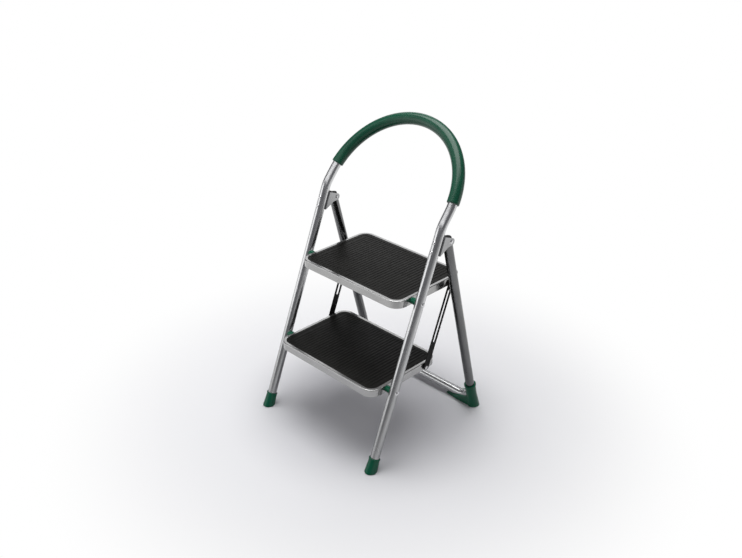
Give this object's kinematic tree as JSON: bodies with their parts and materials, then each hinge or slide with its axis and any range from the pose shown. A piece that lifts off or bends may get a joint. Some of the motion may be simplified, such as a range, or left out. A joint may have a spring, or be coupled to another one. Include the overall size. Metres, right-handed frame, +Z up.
{
  "type": "folding step stool",
  "caption": "Folding step stool of bent steel tube with ribbed rubber treads, a foam-wrapped hand hoop, link straps and moulded corner shoes.",
  "frame": {"origin": "on the floor, in the middle of the open stool's outline", "axes": "+X to the stool's right side as seen by a person who faces its steps, +Y to its rear, +Z up"},
  "size_m": [0.4558, 0.4587, 0.8278],
  "materials": {
    "satin_tube": "satin nickel-grey plating",
    "satin_bracket": "satin nickel-grey plating",
    "silver_coat": "silver-grey powder coat",
    "black_coat": "semi-gloss black coat",
    "black_rubber": "ribbed matt rubber",
    "green_rubber": "smooth moulded",
    "green_foam": "soft matt foam",
    "black_plastic": "moulded",
    "black_nylon": "stamped",
    "bright_rivet": "bright plated"
  },
  "bodies": {
    "main_frame": {"front_frame_tube": "satin_tube", "hand_grip": "green_foam", "front_foot_left": "green_rubber", "front_foot_right": "green_rubber", "clevis_bracket_left": "satin_bracket", "clevis_bracket_right": "satin_bracket", "bracket_rivets_left": "bright_rivet", "bracket_rivets_right": "bright_rivet", "clevis_washers_left": "black_nylon", "clevis_washers_right": "black_nylon", "rear_pivot_rivet_left": "bright_rivet", "rear_pivot_rivet_right": "bright_rivet", "upper_step_bush_left": "green_rubber", "upper_step_bush_right": "green_rubber", "upper_step_rivet_left": "bright_rivet", "upper_step_rivet_right": "bright_rivet", "lower_step_bush_left": "green_rubber", "lower_step_bush_right": "green_rubber", "lower_step_rivet_left": "bright_rivet", "lower_step_rivet_right": "bright_rivet"},
    "rear_frame": {"rear_frame_tube": "satin_tube", "rear_leg_plug_left": "black_plastic", "rear_leg_plug_right": "black_plastic", "rear_shoe_left": "green_rubber", "rear_shoe_right": "green_rubber"},
    "upper_step": {"upper_step_pan": "silver_coat", "upper_step_mat": "black_rubber", "upper_step_stiffener": "silver_coat", "upper_link_rivet_left": "bright_rivet", "upper_link_rivet_right": "bright_rivet", "upper_link_bush_left": "black_plastic", "upper_link_bush_right": "black_plastic"},
    "lower_step": {"lower_step_pan": "silver_coat", "lower_step_mat": "black_rubber", "lower_step_stiffener": "silver_coat", "lower_link_rivet_left": "bright_rivet", "lower_link_rivet_right": "bright_rivet", "lower_link_bush_left": "black_plastic", "lower_link_bush_right": "black_plastic"},
    "link_strap_left": {"link_strap_left": "black_coat"},
    "link_strap_right": {"link_strap_right": "black_coat"},
    "slot_stud_left": {"slot_stud_left": "bright_rivet"},
    "slot_stud_right": {"slot_stud_right": "bright_rivet"}
  },
  "joints": [
    {"name": "upper_step_fold", "type": "hinge", "parent": "main_frame", "child": "upper_step", "pos_m": [0, -0.03914, 0.434], "axis": [1, 0, 0], "range_deg": [0, 54.4]},
    {"name": "lower_step_fold", "type": "hinge", "parent": "main_frame", "child": "lower_step", "pos_m": [0, -0.12855, 0.20933], "axis": [1, 0, 0], "range_deg": [0, 54.4]},
    {"name": "rear_frame_fold", "type": "hinge", "parent": "main_frame", "child": "rear_frame", "pos_m": [0, 0.05778, 0.57802], "axis": [-1, 0, 0], "range_deg": [0, 36.5]},
    {"name": "link_strap_left_turn", "type": "hinge", "parent": "lower_step", "child": "link_strap_left", "pos_m": [-0.18875, 0.01895, 0.20673], "axis": [-1, 0, 0], "range_deg": [0, 54.4]},
    {"name": "link_strap_right_turn", "type": "hinge", "parent": "lower_step", "child": "link_strap_right", "pos_m": [0.18875, 0.01895, 0.20673], "axis": [-1, 0, 0], "range_deg": [0, 54.4]},
    {"name": "slot_stud_left_slide", "type": "slide", "parent": "link_strap_left", "child": "slot_stud_left", "axis": [0, -0.3697, -0.9291], "range_m": [0, 0.1241]},
    {"name": "slot_stud_right_slide", "type": "slide", "parent": "link_strap_right", "child": "slot_stud_right", "axis": [0, -0.3697, -0.9291], "range_m": [0, 0.1241]}
  ],
  "couplings": [
    {"joint": "lower_step_fold", "follows": "upper_step_fold", "ratio": 1},
    {"joint": "rear_frame_fold", "follows": "upper_step_fold", "ratio": 0.67},
    {"joint": "link_strap_left_turn", "follows": "upper_step_fold", "ratio": 1},
    {"joint": "link_strap_right_turn", "follows": "upper_step_fold", "ratio": 1},
    {"joint": "slot_stud_left_slide", "follows": "upper_step_fold", "m_per_rad": 0.1306},
    {"joint": "slot_stud_right_slide", "follows": "upper_step_fold", "m_per_rad": 0.1306}
  ]
}
